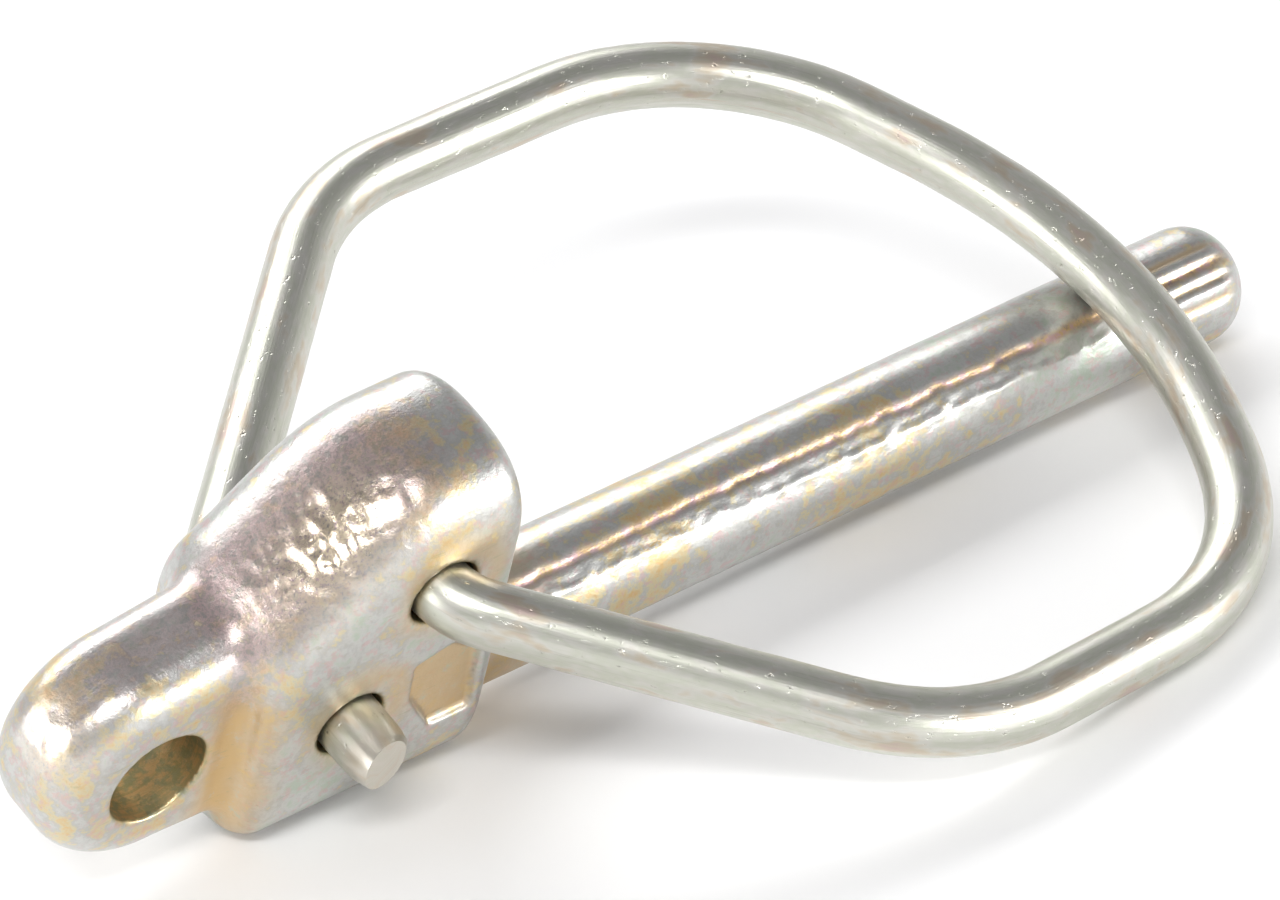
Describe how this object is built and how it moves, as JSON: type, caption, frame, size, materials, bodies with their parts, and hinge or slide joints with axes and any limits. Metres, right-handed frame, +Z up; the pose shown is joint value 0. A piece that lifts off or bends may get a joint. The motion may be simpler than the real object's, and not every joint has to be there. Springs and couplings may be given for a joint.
{
  "type": "lynch pin",
  "caption": "Forged lynch pin with a round stem, a bored lug on its tall head and a sprung wire ring that closes over the stem.",
  "frame": {"origin": "on the stem's axis, where the stem leaves the head's end face", "axes": "+Z up from the ground that the part lies on, +X towards the stem's tip, -Y towards the side where the ring touches the ground"},
  "size_m": [0.1336, 0.0857, 0.0366],
  "materials": {
    "forged_plating": "wrinkled forged steel under pale zinc with gold, pink and green chromate",
    "wire_plating": "smooth drawn wire under pale zinc"
  },
  "bodies": {
    "pin": {"forged_pin": "forged_plating"},
    "ring": {"spring_ring": "wire_plating"},
    "upper_end": {"ring_upper_end": "wire_plating"}
  },
  "joints": [
    {"name": "ring_swing", "type": "hinge", "parent": "pin", "child": "ring", "pos_m": [-0.01597, -0.00329, 0.00757], "axis": [-0.0072, -0.9114, -0.4115], "range_deg": [0, 150], "stiffness_Nm_per_rad": 0.8, "springref_deg": -34.38},
    {"name": "upper_end_turn", "type": "hinge", "parent": "pin", "child": "upper_end", "pos_m": [-0.00827, -0.00856, 0.0191], "axis": [-0.0072, -0.9114, -0.4115], "range_deg": [0, 150]}
  ],
  "couplings": [
    {"joint": "upper_end_turn", "follows": "ring_swing", "ratio": 1}
  ]
}
